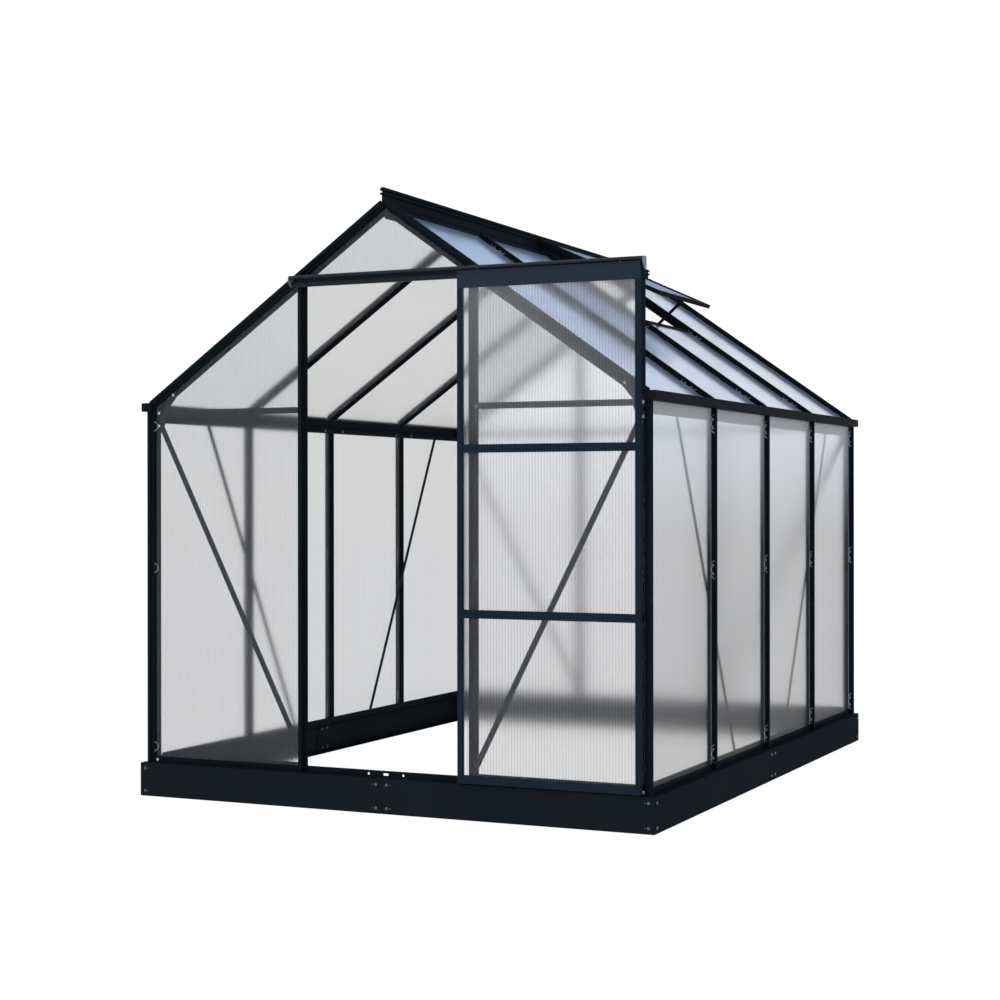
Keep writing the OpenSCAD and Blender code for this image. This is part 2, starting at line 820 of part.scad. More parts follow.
base_front();
base_rear();
base_left();
base_right();
base_splice_plates();
base_corner_angles();
front_sill();
rear_sill();
left_sill();
right_sill();
corner_posts();
door_posts();
rear_posts();
left_wall_bars();
right_wall_bars();
left_gutter();
right_gutter();
gutter_end_caps();
ridge_beam();
front_rafters();
rear_rafters();
left_roof_bars();
right_roof_bars();
gable_crossbars();
door_lintel();
corner_gussets();
gable_braces();
wall_braces();
door_track();
track_strut();
front_gable_panes();
rear_gable_panes();
left_wall_panes();
right_wall_panes();
left_roof_panes();
right_roof_panes();
vent_lintel();
vent_frame();
vent_pane();
vent_stay();
door_stiles();
door_rails();
door_header();
door_panes();
door_rollers();
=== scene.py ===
import math

import bmesh
import bpy
import numpy as np
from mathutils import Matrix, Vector


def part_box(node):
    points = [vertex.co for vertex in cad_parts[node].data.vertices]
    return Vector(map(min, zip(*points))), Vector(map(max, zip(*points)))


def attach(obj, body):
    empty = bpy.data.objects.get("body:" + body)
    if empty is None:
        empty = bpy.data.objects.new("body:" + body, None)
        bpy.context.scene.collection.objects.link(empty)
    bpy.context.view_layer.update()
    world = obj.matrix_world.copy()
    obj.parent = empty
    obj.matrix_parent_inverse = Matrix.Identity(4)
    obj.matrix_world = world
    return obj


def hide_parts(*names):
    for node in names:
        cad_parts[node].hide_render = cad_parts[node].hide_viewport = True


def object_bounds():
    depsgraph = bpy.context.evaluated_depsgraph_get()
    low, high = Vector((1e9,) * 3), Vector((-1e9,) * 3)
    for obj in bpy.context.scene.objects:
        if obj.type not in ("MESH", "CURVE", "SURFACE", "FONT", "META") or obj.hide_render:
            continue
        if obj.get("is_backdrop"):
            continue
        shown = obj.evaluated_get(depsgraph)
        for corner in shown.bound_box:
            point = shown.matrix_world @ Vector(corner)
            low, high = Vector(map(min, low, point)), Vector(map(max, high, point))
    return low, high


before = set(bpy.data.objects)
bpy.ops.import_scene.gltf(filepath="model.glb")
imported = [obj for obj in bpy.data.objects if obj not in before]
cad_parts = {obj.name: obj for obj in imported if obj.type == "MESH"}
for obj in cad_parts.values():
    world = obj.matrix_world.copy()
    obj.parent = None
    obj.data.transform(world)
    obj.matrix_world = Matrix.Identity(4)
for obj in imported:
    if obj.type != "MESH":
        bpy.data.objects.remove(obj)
cad_low, cad_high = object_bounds()


# Base
# Four sides of sheet steel folded into channels, each in two lengths that meet at a seam.
# Plates behind the seams and angles in the corners are bolted through, and all of it is
# powder coated in matt black.

def linear(colour):
    """A hex sRGB colour as linear RGBA."""
    channels = [int(colour[i:i + 2], 16) / 255 for i in (1, 3, 5)]
    levels = [c / 12.92 if c <= 0.04045 else ((c + 0.055) / 1.055) ** 2.4 for c in channels]
    return (*levels, 1.0)


def set_inputs(tree, node, inputs):
    """Sets the inputs of a node; a socket among the values is linked."""
    for name, value in inputs.items():
        if isinstance(value, bpy.types.NodeSocket):
            tree.links.new(value, node.inputs[name])
        else:
            node.inputs[name].default_value = value


def add_node(tree, kind, inputs=None, settings=None, stops=()):
    """Adds a node with its inputs, its settings, and the stops of its ramp as (place, colour)."""
    node = tree.nodes.new(kind)
    for name, value in (settings or {}).items():
        setattr(node, name, value)
    for place, _ in stops[2:]:
        node.color_ramp.elements.new(place)
    for i, (place, colour) in enumerate(stops):
        node.color_ramp.elements[i].position = place
        node.color_ramp.elements[i].color = linear(colour)
    set_inputs(tree, node, inputs or {})
    return node


def start_material(name):
    """A new material, its node tree and its shader."""
    material = bpy.data.materials.new(name)
    material.use_nodes = True
    tree = material.node_tree
    return material, tree, tree.nodes["Principled BSDF"]


# Powder coat: sprayed resin powder melted to a skin with a faint orange-peel ripple. A matting
# powder takes nearly all its shine, so the eye sees a dark even tone that drifts a little from
# place to place. The ripple is about 0.8 mm in the real coat and is drawn at 3 mm to show.
coat_ripple = 0.003
ripple_depth = 0.0004
ripple_strength = 0.12
coat_drift = 0.35
gloss_drift = 0.05
resin_ior = 1.5
matt_shine = 0.004


def powder_coat(name, dark, light, roughness, shine=matt_shine):
    material, tree, shader = start_material(name)
    place = add_node(tree, "ShaderNodeTexCoord").outputs["Object"]
    drift = add_node(tree, "ShaderNodeTexNoise",
                     {"Vector": place, "Scale": 1 / coat_drift, "Detail": 4.0})
    tone = add_node(tree, "ShaderNodeValToRGB", {"Fac": drift.outputs["Fac"]},
                    stops=((0.35, dark), (0.65, light)))
    gloss = add_node(tree, "ShaderNodeMapRange",
                     {"Value": drift.outputs["Fac"], "To Min": roughness - gloss_drift,
                      "To Max": roughness + gloss_drift})
    ripple = add_node(tree, "ShaderNodeTexNoise",
                      {"Vector": place, "Scale": 1 / coat_ripple, "Detail": 2.0})
    bump = add_node(tree, "ShaderNodeBump",
                    {"Height": ripple.outputs["Fac"], "Strength": ripple_strength,
                     "Distance": ripple_depth})
    set_inputs(tree, shader, {"Base Color": tone.outputs["Color"],
                              "Roughness": gloss.outputs["Result"],
                              "Normal": bump.outputs["Normal"],
                              "IOR": resin_ior, "Specular IOR Level": shine})
    return material


weld_reach = 0.00001
sharp_turn = math.radians(40)


def finish_node(node, material, edge):
    """Gives a CAD node its finish, and eases its edges by that radius."""
    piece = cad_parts[node]
    piece.material_slots[0].material = material
    weld = piece.modifiers.new("joined_corners", "WELD")
    weld.merge_threshold = weld_reach
    bevel = piece.modifiers.new("eased_edges", "BEVEL")
    bevel.width = edge
    bevel.segments = 2
    bevel.limit_method = "ANGLE"
    bevel.angle_limit = sharp_turn
    piece.modifiers.new("flat_faces", "WEIGHTED_NORMAL")


sheet_edge = 0.0007
base_shine = 0.0005
steel_coat = powder_coat("powder_coated_steel", "#171c1f", "#1a1f22", roughness=0.5, shine=base_shine)
for node in ("base_front", "base_rear", "base_left", "base_right", "base_splice_plates",
             "base_corner_angles"):
    finish_node(node, steel_coat, sheet_edge)


def frame_on(axis):
    """An axis as a unit vector, and two more that are square to it and to each other."""
    axis = Vector(axis).normalized()
    side = axis.orthogonal().normalized()
    return axis, side, axis.cross(side)


def ring(middle, side, other, radius, sides):
    """Corners of a circle round a middle, in the plane of two unit vectors."""
    angles = [2 * math.pi * i / sides for i in range(sides)]
    return [middle + (side * math.cos(a) + other * math.sin(a)) * radius for a in angles]


def tube_faces(rings, sides):
    """Faces of a tube through rings of corners, closed at both ends."""
    faces = []
    for start in range(0, (rings - 1) * sides, sides):
        for i in range(sides):
            j = (i + 1) % sides
            faces.append((start + i, start + j, start + sides + j, start + sides + i))
    last = (rings - 1) * sides
    faces.append(tuple(reversed(range(sides))))
    faces.append(tuple(range(last, last + sides)))
    return faces


def turned(profile, place, axis, sides=16):
    """Corners and faces of a profile of (radius, height) pairs, turned about an axis at a place."""
    axis, side, other = frame_on(axis)
    corners = []
    for radius, height in profile:
        corners += ring(Vector(place) + axis * height, side, other, radius, sides)
    return corners, tube_faces(len(profile), sides)


def add_piece(name, shapes, material, body):
    """One mesh piece of several shapes, riding on a body."""
    corners, faces = [], []
    for shape_corners, shape_faces in shapes:
        start = len(corners)
        corners.extend(tuple(c) for c in shape_corners)
        faces.extend(tuple(start + i for i in face) for face in shape_faces)
    mesh = bpy.data.meshes.new(name)
    mesh.from_pydata(corners, [], faces)
    shape = bmesh.new()
    shape.from_mesh(mesh)
    bmesh.ops.recalc_face_normals(shape, faces=shape.faces)
    shape.to_mesh(mesh)
    shape.free()
    mesh.shade_smooth()
    mesh.set_sharp_from_angle(angle=sharp_turn)
    mesh.materials.append(material)
    piece = bpy.data.objects.new(name, mesh)
    bpy.context.collection.objects.link(piece)
    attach(piece, body)
    return piece


# Zinc plate: a thin skin on steel. The eye sees a cold grey sheen with a fine cloudy spangle,
# dull blue grey where the zinc is passivated.
zinc_spangle = 0.004


def zinc_plate(name, dark, light, roughness):
    material, tree, shader = start_material(name)
    place = add_node(tree, "ShaderNodeTexCoord").outputs["Object"]
    spangle = add_node(tree, "ShaderNodeTexVoronoi", {"Vector": place, "Scale": 1 / zinc_spangle})
    tone = add_node(tree, "ShaderNodeValToRGB", {"Fac": spangle.outputs["Distance"]},
                    stops=((0.0, dark), (0.8, light)))
    set_inputs(tree, shader, {"Base Color": tone.outputs["Color"], "Metallic": 1.0,
                              "Roughness": roughness})
    return material


dull_zinc = zinc_plate("passivated_zinc", "#4a535d", "#5d6771", roughness=0.42)

# Shares of the radius and of the rise at each bend of a domed head
dome_bends = ((1.0, 0.0), (1.0, 0.35), (0.82, 0.75), (0.4, 1.0))


def dome(radius, rise):
    """Profile of a domed head."""
    return [(radius * across, rise * up) for across, up in dome_bends]


# Bolts: domed heads outside and hexagon nuts inside, in two rows beside each seam and corner
bolt_head = dome(radius=0.0055, rise=0.0028)
nut_r = 0.0065
nut_h = 0.005
nut_corner_w = 0.0007
nut_corner_h = 0.0008
shank_r = 0.003
shank_h = 0.0085
shank_corner_w = 0.0008
shank_corner_h = 0.0005
nut = [(nut_r, 0.0), (nut_r, nut_h - nut_corner_h), (nut_r - nut_corner_w, nut_h), (shank_r, nut_h),
       (shank_r, shank_h - shank_corner_h), (shank_r - shank_corner_w, shank_h)]

# Small rivets, one beside each bolt, hold the plates and angles before the bolts go in
stud_head = dome(radius=0.0022, rise=0.0011)

half_width, half_length, base_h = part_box("base_right")[1]
row_inset = 0.019
bolt_rows = (row_inset, base_h - row_inset)
bolt_from_joint = 0.02
stud_from_joint = 0.0315
sheet_gauge = 0.002
inner_width = half_width - 2 * sheet_gauge
inner_length = half_length - 2 * sheet_gauge


def beside_joints(half, distance):
    """Places along a side of that half length, at a distance from its corners and its seam."""
    return (-half + distance, -distance, distance, half - distance)


heads, nuts, studs = [], [], []
for z in bolt_rows:
    for way in (-1, 1):
        for x in beside_joints(half_width, bolt_from_joint):
            heads.append(turned(bolt_head, (x, way * half_length, z), (0, way, 0)))
            nuts.append(turned(nut, (x, way * inner_length, z), (0, -way, 0), sides=6))
        for y in beside_joints(half_length, bolt_from_joint):
            heads.append(turned(bolt_head, (way * half_width, y, z), (way, 0, 0)))
            nuts.append(turned(nut, (way * inner_width, y, z), (-way, 0, 0), sides=6))
        for x in beside_joints(half_width, stud_from_joint):
            studs.append(turned(stud_head, (x, way * half_length, z), (0, way, 0), sides=10))
        for y in beside_joints(half_length, stud_from_joint):
            studs.append(turned(stud_head, (way * half_width, y, z), (way, 0, 0), sides=10))
add_piece("base_bolt_heads", heads, dull_zinc, "house")
add_piece("base_studs", studs, dull_zinc, "house")
add_piece("base_nuts", nuts, dull_zinc, "house")


# Sills, posts and wall bars
# Extruded aluminium sections cut to length, powder coated in anthracite. The sills stand on
# the base, the posts and bars stand on the sills, and each foot and head is bolted to a fin.

section_edge = 0.0006
aluminium_coat = powder_coat("powder_coated_aluminium", "#12181c", "#161d21", roughness=0.45)
for node in ("front_sill", "rear_sill", "left_sill", "right_sill", "corner_posts", "door_posts",
             "rear_posts", "left_wall_bars", "right_wall_bars"):
    finish_node(node, aluminium_coat, section_edge)


def solids(node):
    """The separate solids of a CAD node, each as an array of its corners, in order of place."""
    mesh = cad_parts[node].data
    corners = [tuple(round(c, 5) for c in v.co) for v in mesh.vertices]
    parent = {c: c for c in corners}

    def top(c):
        while parent[c] != c:
            c = parent[c]
        return c

    for face in mesh.polygons:
        first = top(corners[face.vertices[0]])
        for i in face.vertices[1:]:
            parent[top(corners[i])] = first
    groups = {}
    for c in corners:
        groups.setdefault(top(c), set()).add(c)
    return [np.array(g) for g in sorted(sorted(group) for group in groups.values())]


def middles(node, axis):
    """The middle of each solid of a node along an axis."""
    return [(s[:, axis].min() + s[:, axis].max()) / 2 for s in solids(node)]


# Fin bolts: hexagon nuts on the inner faces of the fins, on both sides of the head of each bar
fin_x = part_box("right_sill")[0][0]
fin_middle = 0.01
fin_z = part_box("right_gutter")[0][2] + fin_middle
beside_bar = 0.07
bar_places = middles("right_wall_bars", 1)
fin_nuts = []
for y in bar_places:
    for way in (-1, 1):
        for shift in (-beside_bar, beside_bar):
            fin_nuts.append(turned(nut, (way * fin_x, y + shift, fin_z), (-way, 0, 0), sides=6))
add_piece("fin_nuts", fin_nuts, dull_zinc, "house")


# Gutters, ridge, rafters and roof bars
# The gutters are extrusions that carry the feet of the roof bars, with a flat cap at each end.
# Rafters and roof bars run up to the ridge, a deep extrusion with a curled cap.

for node in ("left_gutter", "right_gutter", "gutter_end_caps", "ridge_beam", "front_rafters",
             "rear_rafters", "left_roof_bars", "right_roof_bars", "door_lintel"):
    finish_node(node, aluminium_coat, section_edge)


# Crossbars, gussets and braces
# Flat aluminium bars and plates behind the panes, held to the fins and flanges, in a slightly
# lighter coat. White nylon domes on the gussets and the ends of the crossbars stand for light
# seen through holes: painted light.

flat_edge = 0.0004
bar_coat = powder_coat("powder_coated_flat_bar", "#1e252b", "#262e35", roughness=0.45)
for node in ("gable_crossbars", "corner_gussets", "gable_braces", "wall_braces"):
    finish_node(node, bar_coat, flat_edge)

relief_strength = 0.1


def fine_plastic(name, dark, light, grain, roughness, ior, relief=0.0):
    """A plastic with a faint cloudy tone at the size of its grain, and with a relief if one is given."""
    material, tree, shader = start_material(name)
    place = add_node(tree, "ShaderNodeTexCoord").outputs["Object"]
    cloud = add_node(tree, "ShaderNodeTexNoise", {"Vector": place, "Scale": 1 / grain})
    tone = add_node(tree, "ShaderNodeValToRGB", {"Fac": cloud.outputs["Fac"]},
                    stops=((0.3, dark), (0.7, light)))
    set_inputs(tree, shader, {"Base Color": tone.outputs["Color"], "Roughness": roughness, "IOR": ior})
    if relief:
        bump = add_node(tree, "ShaderNodeBump",
                        {"Height": cloud.outputs["Fac"], "Strength": relief_strength,
                         "Distance": relief})
        set_inputs(tree, shader, {"Normal": bump.outputs["Normal"]})
    return material


# Nylon: moulded, waxy and nearly matt. Its small white domes on the gables stand for light
# seen through holes: painted light.
nylon = fine_plastic("white_nylon", "#d8d9d6", "#e3e4e1", grain=0.0025, roughness=0.42, ior=1.53)

# White nylon domes shaped as push rivets, on the gussets, the crossbar ends, the corner flanges
# and the sill, stand for light seen through holes: painted light. Those under a pane are set
# flush. Places are across and up, on the right half of a gable.
light_dot_r = 0.0055
flush_light_dot = dome(light_dot_r, rise=0.0002)
proud_light_dot = dome(light_dot_r, rise=0.0016)
flange_y = -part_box("front_gable_panes")[1][1]
sill_y = -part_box("front_sill")[0][1]
gusset_light_dot = (0.8486, 1.4076)
crossbar_light_dot = (0.3275, 1.3435)
upper_flange_light_dot = (0.908, 1.345)
lower_flange_light_dot = (0.908, 1.3)
sill_light_dot = (0.911, 0.1245)
light_dots = []
for way in (-1, 1):
    for hand in (-1, 1):
        for x, z in (gusset_light_dot, crossbar_light_dot, upper_flange_light_dot, lower_flange_light_dot):
            light_dots.append(turned(flush_light_dot, (hand * x, way * flange_y, z), (0, way, 0), sides=12))
        x, z = sill_light_dot
        light_dots.append(turned(proud_light_dot, (hand * x, way * sill_y, z), (0, way, 0), sides=12))
# Bright white domes where light shows through holes: painted light
add_piece("gable_light_dots", light_dots, nylon, "house")


# Wall and gable panes
# Extruded twin-wall polycarbonate: two clear skins joined by ribs, cut to size and pushed in
# between the bars. On the side walls and the roof a pale tape closes the long edges.

# Polycarbonate: clear resin, milky where the ribs stand between the skins. The eye sees stripes
# at the rib pitch, sharp shapes close behind and blurred ones further off. The sheet is hollow,
# so it bends light far less than the solid resin, whose IOR is 1.58.
rib_pitch = 0.0105
rib_flank = 0.45
rib_crest = 0.95
rib_milk = 0.05
sheet_roughness = 0.285
hollow_ior = 1.047
skin_roughness = 0.06
# A wave texture of scale 1 repeats after this length
wave_period = math.pi / 10


def twin_wall(name, tints_and_sky, rib, ribs_along, clearness, gloss, painted_sky_veil=None):
    """Tints are pairs of height and colour; where the colour changes with height it is a painted
    reflection of the sky, paler and bluer higher up, and painted shade, darker lower down. Rib lines
    stand at multiples of the pitch along X or Y.

    The last argument is a low and a high place and the share of the clearness that is left at the high
    one; it paints the sky's reflection by making the sheet less clear higher up.
    """
    material, tree, shader = start_material(name)
    place = add_node(tree, "ShaderNodeTexCoord").outputs["Object"]
    wave = add_node(tree, "ShaderNodeTexWave",
                    {"Vector": place, "Scale": wave_period / rib_pitch, "Phase Offset": math.pi / 2},
                    {"wave_type": "BANDS", "bands_direction": ribs_along, "wave_profile": "SIN"})
    lines = add_node(tree, "ShaderNodeValToRGB", {"Fac": wave.outputs["Fac"]},
                     stops=((rib_flank, "#ffffff"), (rib_crest, rib)))
    height = add_node(tree, "ShaderNodeSeparateXYZ", {"Vector": place}).outputs["Z"]
    share = add_node(tree, "ShaderNodeMapRange", {"Value": height, "From Max": cad_high.z})
    # Colour by height: where it changes, it is a painted reflection of the sky and painted shade
    tint_and_sky = add_node(tree, "ShaderNodeValToRGB", {"Fac": share.outputs["Result"]},
                    stops=[(z / cad_high.z, colour) for z, colour in tints_and_sky])
    tone = add_node(tree, "ShaderNodeMixRGB",
                    {"Fac": 1.0, "Color1": tint_and_sky.outputs["Color"], "Color2": lines.outputs["Color"]},
                    {"blend_type": "MULTIPLY"})
    ribs = add_node(tree, "ShaderNodeMapRange",
                    {"Value": wave.outputs["Fac"], "From Min": rib_flank, "From Max": rib_crest,
                     "To Min": clearness, "To Max": clearness - rib_milk})
    clear = ribs.outputs["Result"]
    # A painted reflection of the sky: the sheet is made less clear toward the top
    if painted_sky_veil:
        low, high, left = painted_sky_veil
        sky_veil_by_height = add_node(tree, "ShaderNodeMapRange",
                        {"Value": height, "From Min": low, "From Max": high,
                         "To Min": 1.0, "To Max": left})
        both = add_node(tree, "ShaderNodeMath", {0: clear, 1: sky_veil_by_height.outputs["Result"]},
                        {"operation": "MULTIPLY"})
        clear = both.outputs["Value"]
    set_inputs(tree, shader, {"Base Color": tone.outputs["Color"], "Transmission Weight": clear,
                              "Roughness": sheet_roughness, "IOR": hollow_ior,
                              "Coat Weight": gloss, "Coat Roughness": skin_roughness})
    return material


# Edge tape: matt white film with a little gloss, seen as a thin bright line beside each bar
tape_w = 0.003
edge_tape = fine_plastic("pale_edge_tape", "#e4e8ec", "#f2f4f6", grain=0.004, roughness=0.45, ior=1.5)

flute_depth = 0.00008
flute_steps = 6
skin_clear = 0.0003
# How near a corner of the solid is to a skin or to a column of the pane to count as on it
skin_reach = 0.001
column_reach = 0.0002


def sheet_between(place, across, lows, highs, backs, fronts):
    """A closed sheet over the given columns, each with its low and high end, back and front."""
    corners = []
    for u, low, high, back, front in zip(across, lows, highs, backs, fronts):
        corners += [place(u, low, back), place(u, high, back)]
        corners += [place(u, high, front), place(u, low, front)]
    faces = [(0, 1, 2, 3)]
    for i in range(len(across) - 1):
        a, b = 4 * i, 4 * i + 4
        faces += [(a + k, b + k, b + (k + 1) % 4, a + (k + 1) % 4) for k in range(4)]
    end = 4 * (len(across) - 1)
    faces.append((end + 3, end + 2, end + 1, end))
    return corners, faces


def twin_wall_pane(corners, across, along, out, edge_w):
    """The fluted sheet of a pane, and the tape on its long edges, from the corners of its solid."""
    axes = np.array([across, along, out], dtype=float)
    u, v, w = (corners @ axes.T).T
    back, front = w.min() + skin_clear, w.max() - skin_clear
    skins = np.abs(w - w.max()) < skin_reach, np.abs(w - w.min()) < skin_reach
    places = sorted(set(np.round(u, 4)))
    ends = places[0], places[-1]

    def heights(column):
        return [v[skin & (np.abs(u - column) < column_reach)] for skin in skins]

    lows = [max(h.min() for h in heights(p)) for p in ends]
    highs = [min(h.max() for h in heights(p)) for p in places]

    def place(a, b, c):
        return a * axes[0] + b * axes[1] + c * axes[2]

    def sheet_over(us, dips):
        return sheet_between(place, us, np.interp(us, ends, lows), np.interp(us, places, highs),
                             back + dips, front - dips)

    start, end = ends[0] + edge_w, ends[1] - edge_w
    edges = ((ends[0], start), (end, ends[1])) if edge_w else ()
    tape = [sheet_over(np.array(edge), np.zeros(2)) for edge in edges]
    count = round((end - start) / rib_pitch * flute_steps)
    us = np.array(sorted(set(np.linspace(start, end, count)) | set(places[1:-1])))
    dips = flute_depth * (1 + np.cos(2 * math.pi * us / rib_pitch)) / 2
    return sheet_over(us, dips), tape


def glaze(node, name, across, along, out, material, body, edge_w=0.0):
    """Replaces the plain panes of a node by fluted sheets, with tape on their long edges."""
    sheets, tapes = [], []
    for corners in solids(node):
        sheet, tape = twin_wall_pane(corners, across, along, out, edge_w)
        sheets.append(sheet)
        tapes.extend(tape)
    piece = add_piece(name, sheets, material, body)
    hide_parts(node)
    if tapes:
        add_piece(name + "_edge_tape", tapes, edge_tape, body)


# The gable sheet is white, with a faint blue toward the top that is a painted reflection of the sky
gable_sheet_with_painted_sky = twin_wall("twin_wall_gable_polycarbonate_with_painted_sky", ((0.9, "#ffffff"), (1.5, "#fbfdff")),
                        rib="#ededed", ribs_along="X", clearness=1.0, gloss=0.1)
for side, way in (("front", -1), ("rear", 1)):
    glaze(side + "_gable_panes", side + "_gable_sheets", (1, 0, 0), (0, 0, 1), (0, way, 0),
          gable_sheet_with_painted_sky, "house")

left_wall = twin_wall("twin_wall_left_polycarbonate", ((0.2, "#e0e0e0"), (1.35, "#e0e0e0")),
                      rib="#dcdcdc", ribs_along="Y", clearness=0.97, gloss=0.1)
# The right wall's sheet is painted darker grey low down, a painted shade, and pale blue and less clear
# toward the top, a painted reflection of the sky
right_wall_painted_sky_and_shade = twin_wall("twin_wall_right_polycarbonate_painted_sky_and_shade",
                       ((0.2, "#cccccc"), (0.9, "#cfcfcf"), (1.35, "#f2f6fa")),
                       rib="#dcdcdc", ribs_along="Y", clearness=0.985, gloss=0.1,
                       painted_sky_veil=(0.85, 1.35, 0.74))
for side, way, sheet in (("left", -1, left_wall), ("right", 1, right_wall_painted_sky_and_shade)):
    glaze(side + "_wall_panes", side + "_wall_sheets", (0, 1, 0), (0, 0, 1), (way, 0, 0),
          sheet, "house", tape_w)


# Roof panes
# The same twin-wall sheet, with the ribs running down the slope so that water drains out of
# them into the gutter. The sheets of the right slope are painted pale blue and less clear, a
# painted reflection of the sky.

roof_pitch = math.radians(35.1)
roof_cos = math.cos(roof_pitch)
roof_sin = math.sin(roof_pitch)
eaves_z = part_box("right_gutter")[1][2]
tint_top = 2.0
clear_roof = twin_wall("twin_wall_clear_roof_polycarbonate",
                       ((eaves_z, "#dedede"), (tint_top, "#dedede")),
                       rib="#dcdcdc", ribs_along="Y", clearness=0.97, gloss=0.1)
# The right slope's sheet is painted pale blue and less clear than the left one's: a painted reflection
# of the sky on a copy of the same sheet
roof_with_painted_sky = twin_wall("twin_wall_roof_polycarbonate_with_painted_sky",
                      ((eaves_z, "#dbe6f5"), (tint_top, "#d4e0f1")),
                      rib="#e6e6e6", ribs_along="Y", clearness=0.82, gloss=0.8)
for side, way, sheet in (("left", -1, clear_roof), ("right", 1, roof_with_painted_sky)):
    glaze(side + "_roof_panes", side + "_roof_sheets", (0, 1, 0), (way * roof_cos, 0, -roof_sin),
          (way * roof_sin, 0, roof_cos), sheet, "house", tape_w)


# Roof vent
# A frame of the door's small section with its own pane, hinged on the ridge and held open by a
# flat stay. The pane is painted grey blue and less clear, a painted reflection of the sky.

vent_slope = math.radians(24.4)
for node in ("vent_lintel", "vent_frame", "vent_stay"):
    finish_node(node, aluminium_coat, section_edge)
# The vent's sheet is painted grey blue and made less clear: a painted reflection of the sky
vent_sheet = twin_wall("twin_wall_vent_polycarbonate_painted_sky",
                       ((eaves_z, "#b2bdcb"), (tint_top, "#a8b4c4")),
                       rib="#e6e6e6", ribs_along="Y", clearness=0.7, gloss=0.0)
glaze("vent_pane", "vent_sheet", (0, 1, 0), (math.cos(vent_slope), 0, -math.sin(vent_slope)),
      (math.sin(vent_slope), 0, math.cos(vent_slope)), vent_sheet, "house")


# Spring clips
# Bent from 2.2 mm galvanised wire. Each is pushed under the nose of a bar and springs out to
# both sides, where its loops hold the pane down on the flange.

wire_r = 0.0011
clip_reach = 0.014
clip_lift = 0.0105
clip_web = 0.0035
# Half of the bent wire, from its middle: place along the bar, and share of the reach over the pane
clip_bends = ((0.0, 0.75), (0.007, 0.75), (0.0165, 0.0), (0.018, 1.0), (0.026, 0.6), (0.032, 0.0))
short_bends = clip_bends[:3]
corner_cut = 0.25


def wire(points, radius, sides):
    """A round wire through points, closed at its ends."""
    corners = []
    for i, point in enumerate(points):
        ahead = points[min(i + 1, len(points) - 1)]
        behind = points[max(i - 1, 0)]
        axis, side, other = frame_on(ahead - behind)
        if i:
            side = (last_side - axis * last_side.dot(axis)).normalized()
            other = axis.cross(side)
        last_side = side
        corners += ring(point, side, other, radius, sides)
    return corners, tube_faces(len(points), sides)


def eased(points):
    """A line through points with its corners cut."""
    cut = [points[0]]
    for p, q in zip(points, points[1:]):
        cut += [p.lerp(q, corner_cut), p.lerp(q, 1 - corner_cut)]
    return cut + [points[-1]]


def clip_side(middle, across, along, out, half=clip_bends):
    """The bent wire on one side of a bar: it bears on the pane and springs up under the nose."""
    middle, across, along, out = (Vector(a) for a in (middle, across, along, out))
    bends = [(-place, share) for place, share in reversed(half[1:])] + list(half)
    points = [middle + along * place + across * (clip_web + share * clip_reach)
              + out * (wire_r + (1 - share) * clip_lift) for place, share in bends]
    return wire(eased(eased(points)), wire_r, sides=6)


spring_wire = zinc_plate("galvanised_spring_wire", "#9aa0a6", "#b2b8be", roughness=0.4)
pane_face_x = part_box("right_wall_panes")[1][0]
pane_face_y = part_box("rear_gable_panes")[1][1]
corner_web = 0.027
corner_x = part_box("corner_posts")[1][0] - corner_web
corner_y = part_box("corner_posts")[1][1] - corner_web
upright = (0, 0, 1)
clip_heights = (0.172, 0.8, 1.298)
clips = []
for z in clip_heights:
    for way in (-1, 1):
        for hand in (-1, 1):
            for y in bar_places:
                clips.append(clip_side((way * pane_face_x, y, z), (0, hand, 0), upright, (way, 0, 0)))
            clips.append(clip_side((way * pane_face_x, hand * corner_y, z), (0, -hand, 0), upright,
                                   (way, 0, 0)))
            clips.append(clip_side((hand * corner_x, way * pane_face_y, z), (-hand, 0, 0), upright,
                                   (0, way, 0), short_bends))

# Gable posts: clips on both sides, but not on the doorway's side of the door posts
for z in clip_heights:
    for x in middles("rear_posts", 0):
        outward = math.copysign(1, x)
        for hand, way in ((-1, 1), (1, 1), (outward, -1)):
            clips.append(clip_side((x, way * pane_face_y, z), (hand, 0, 0), upright, (0, way, 0),
                                   short_bends))

# Roof bars: clips near the ridge, halfway down and near the eaves, as shares of the slope
roof_clip_shares = (0.13, 0.47, 0.9)
roof_low, roof_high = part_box("left_roof_panes")
for share in roof_clip_shares:
    for way in (-1, 1):
        x = way * share * -roof_low.x
        z = roof_high.z - abs(x) * roof_sin / roof_cos
        for y in bar_places:
            for hand in (-1, 1):
                clips.append(clip_side((x, y, z), (0, hand, 0), (way * roof_cos, 0, -roof_sin),
                                       (way * roof_sin, 0, roof_cos)))
add_piece("spring_clips", clips, spring_wire, "house")


# Track and door
# The track is an extrusion with a rounded hood, screwed to the door posts and held at its
# free end by a flat strut. The door hangs in it on two nylon rollers behind a plain plate.

door_coat = powder_coat("powder_coated_door_frame", "#1a242b", "#1f2931", roughness=0.45)
for node in ("track_strut", "door_stiles", "door_rails"):
    finish_node(node, door_coat, section_edge)
# The plate's coat is lighter and bluer than the door frame's: partly its own dark coat, partly a painted
# reflection
plate_coat_with_painted_reflection = powder_coat("powder_coated_door_plate_with_painted_reflection", "#26303a", "#2b3540", roughness=0.45)
finish_node("door_header", plate_coat_with_painted_reflection, section_edge)
# The track's coat has less matting powder, so that its hood catches a little light
track_shine = 0.12
track_coat = powder_coat("powder_coated_track", "#161e24", "#1a2329", roughness=0.4, shine=track_shine)
finish_node("door_track", track_coat, section_edge)
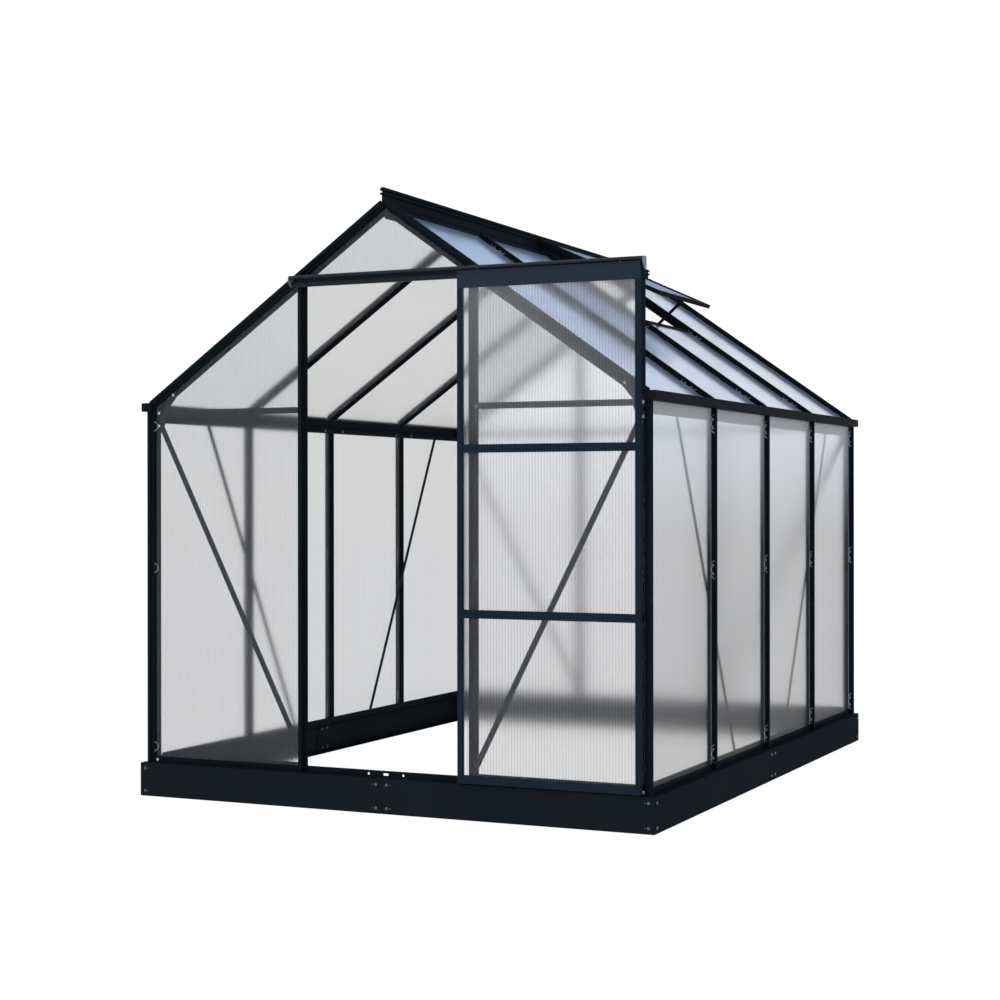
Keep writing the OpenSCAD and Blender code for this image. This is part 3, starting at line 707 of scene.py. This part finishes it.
# The door's sheet is painted greyer low down and whiter and less clear toward the top: a painted
# reflection of the sky
door_sheet_with_painted_sky = twin_wall("twin_wall_door_polycarbonate_with_painted_sky",
                       ((0.5, "#ebebeb"), (1.0, "#eeeef0"), (1.4, "#ffffff")),
                       rib="#d4d4d4", ribs_along="X", clearness=0.985, gloss=0.1,
                       painted_sky_veil=(1.25, 1.7, 0.945))
glaze("door_panes", "door_sheets", (1, 0, 0), (0, 0, 1), (0, -1, 0), door_sheet_with_painted_sky, "door")

# Moulded plastic: mid grey and even in tone, with a dull grained skin. The grain is finer in the
# real caps and is drawn at 900 to the metre.
cap_plastic = fine_plastic("moulded_grey_plastic", "#565f68", "#626b74", grain=1 / 900,
                           roughness=0.5, ior=1.46, relief=0.0002)


def plate_across(x, thickness, outline):
    """A plate square to X, from an outline of (y, z) points."""
    count = len(outline)
    corners = [(x, y, z) for y, z in outline] + [(x + thickness, y, z) for y, z in outline]
    faces = [tuple(range(count)), tuple(reversed(range(count, 2 * count)))]
    faces += [(i, i + count, (i + 1) % count + count, (i + 1) % count) for i in range(count)]
    return corners, faces


# End caps of the track, with the outline of its hood
track_low, track_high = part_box("door_track")
end_cap_t = 0.003
hood_r = 0.012
hood_start = 0.3
hood_drop = 0.018
foot_w = 0.016
hood_points = 5
hood_y = track_low.y + hood_r
hood_z = track_high.z - hood_r
hood = [(track_high.y, track_low.z), (track_high.y, track_high.z), (hood_y, track_high.z)]
for angle in np.linspace(hood_start, math.pi / 2, hood_points):
    hood.append((hood_y - hood_r * math.sin(angle), hood_z + hood_r * math.cos(angle)))
hood += [(track_low.y, track_high.z - hood_drop), (track_high.y - foot_w, track_low.z)]
caps = [plate_across(x, end_cap_t, hood) for x in (track_low.x - end_cap_t, track_high.x)]
add_piece("track_end_caps", caps, cap_plastic, "house")

# Rollers of the same nylon as the white domes, grooved to run on the lip of the track
hub_r = 0.004
rim_ease = 0.0005
rim_w = 0.0018
flank_w = 0.003
groove_share = 0.8
axle_room = 0.002
axle_lap = 0.0021
axle_r = 0.0025
axle_l = 0.0022
axle = [(axle_r, 0.0), (axle_r, axle_l)]
wheels, axles = [], []
for corners in solids("door_rollers"):
    low, high = corners.min(axis=0), corners.max(axis=0)
    middle_x, _, middle_z = (low + high) / 2
    roller_r = (high[2] - low[2]) / 2
    groove_r = roller_r * groove_share
    width = high[1] - low[1] - axle_room
    flank = [(hub_r, 0.0), (roller_r, rim_ease), (roller_r, rim_w), (groove_r, flank_w)]
    wheel = flank + [(radius, width - place) for radius, place in reversed(flank)]
    wheels.append(turned(wheel, (middle_x, high[1], middle_z), (0, -1, 0), sides=24))
    axles.append(turned(axle, (middle_x, low[1] + axle_lap, middle_z), (0, -1, 0)))
roller_piece = add_piece("door_roller_wheels", wheels, nylon, "door")
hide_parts("door_rollers")
add_piece("door_roller_axles", axles, dull_zinc, "door")


# Floor, light and camera
# A matt white studio floor under an even white surround that turns pale blue overhead, with
# one broad soft light from above and from the front left.

floor_half = 60.0
floor_corners = [(-floor_half, -floor_half, 0), (floor_half, -floor_half, 0),
                 (floor_half, floor_half, 0), (-floor_half, floor_half, 0)]
floor_mesh = bpy.data.meshes.new("studio_floor")
floor_mesh.from_pydata(floor_corners, [], [(0, 1, 2, 3)])
floor = bpy.data.objects.new("studio_floor", floor_mesh)
bpy.context.collection.objects.link(floor)
# The floor glows, so that it stays as white as the surround
floor_white, tree, shader = start_material("matt_white_floor")
set_inputs(tree, shader, {"Base Color": linear("#404040"), "Roughness": 0.9, "Specular IOR Level": 0.0,
                          "Emission Color": linear("#ffffff"), "Emission Strength": 0.98})
floor_mesh.materials.append(floor_white)
floor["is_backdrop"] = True

# The surround's colours, by the rise of the direction: white to 15 degrees, blue from 21 degrees
surround_stops = ((0.262, "#ffffff"), (0.36, "#b0c7ea"))
world = bpy.data.worlds.new("studio_surround")
world.use_nodes = True
bpy.context.scene.world = world
tree = world.node_tree
direction = add_node(tree, "ShaderNodeTexCoord").outputs["Generated"]
rise = add_node(tree, "ShaderNodeSeparateXYZ", {"Vector": direction}).outputs["Z"]
sky = add_node(tree, "ShaderNodeValToRGB", {"Fac": rise}, stops=surround_stops)
set_inputs(tree, tree.nodes["Background"], {"Color": sky.outputs["Color"], "Strength": 1.05})

sun = bpy.data.lights.new("broad_top_light", "SUN")
sun.energy = 1.0
sun.angle = math.radians(70)
sun_object = bpy.data.objects.new("broad_top_light", sun)
sun_object.rotation_euler = (math.radians(14), math.radians(-22), 0)
bpy.context.collection.objects.link(sun_object)

camera = bpy.data.cameras.new("front_right_camera")
camera.lens = 68.45
camera.sensor_width = 36
camera.clip_end = 300
camera_object = bpy.data.objects.new("front_right_camera", camera)
camera_object.location = (2.99306, -6.81771, 1.04256)
camera_object.rotation_euler = (math.radians(89.96), math.radians(0.05), math.radians(24.78))
bpy.context.collection.objects.link(camera_object)
bpy.context.scene.camera = camera_object
bpy.context.scene.view_settings.view_transform = "Standard"

# Light passes up to six sheets, two faces each, before it reaches the far surround
paths = bpy.context.scene.cycles
paths.max_bounces = 14
paths.transmission_bounces = 14

low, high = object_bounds()
{"cad": [list(cad_low), list(cad_high)], "visual": [list(low), list(high)]}
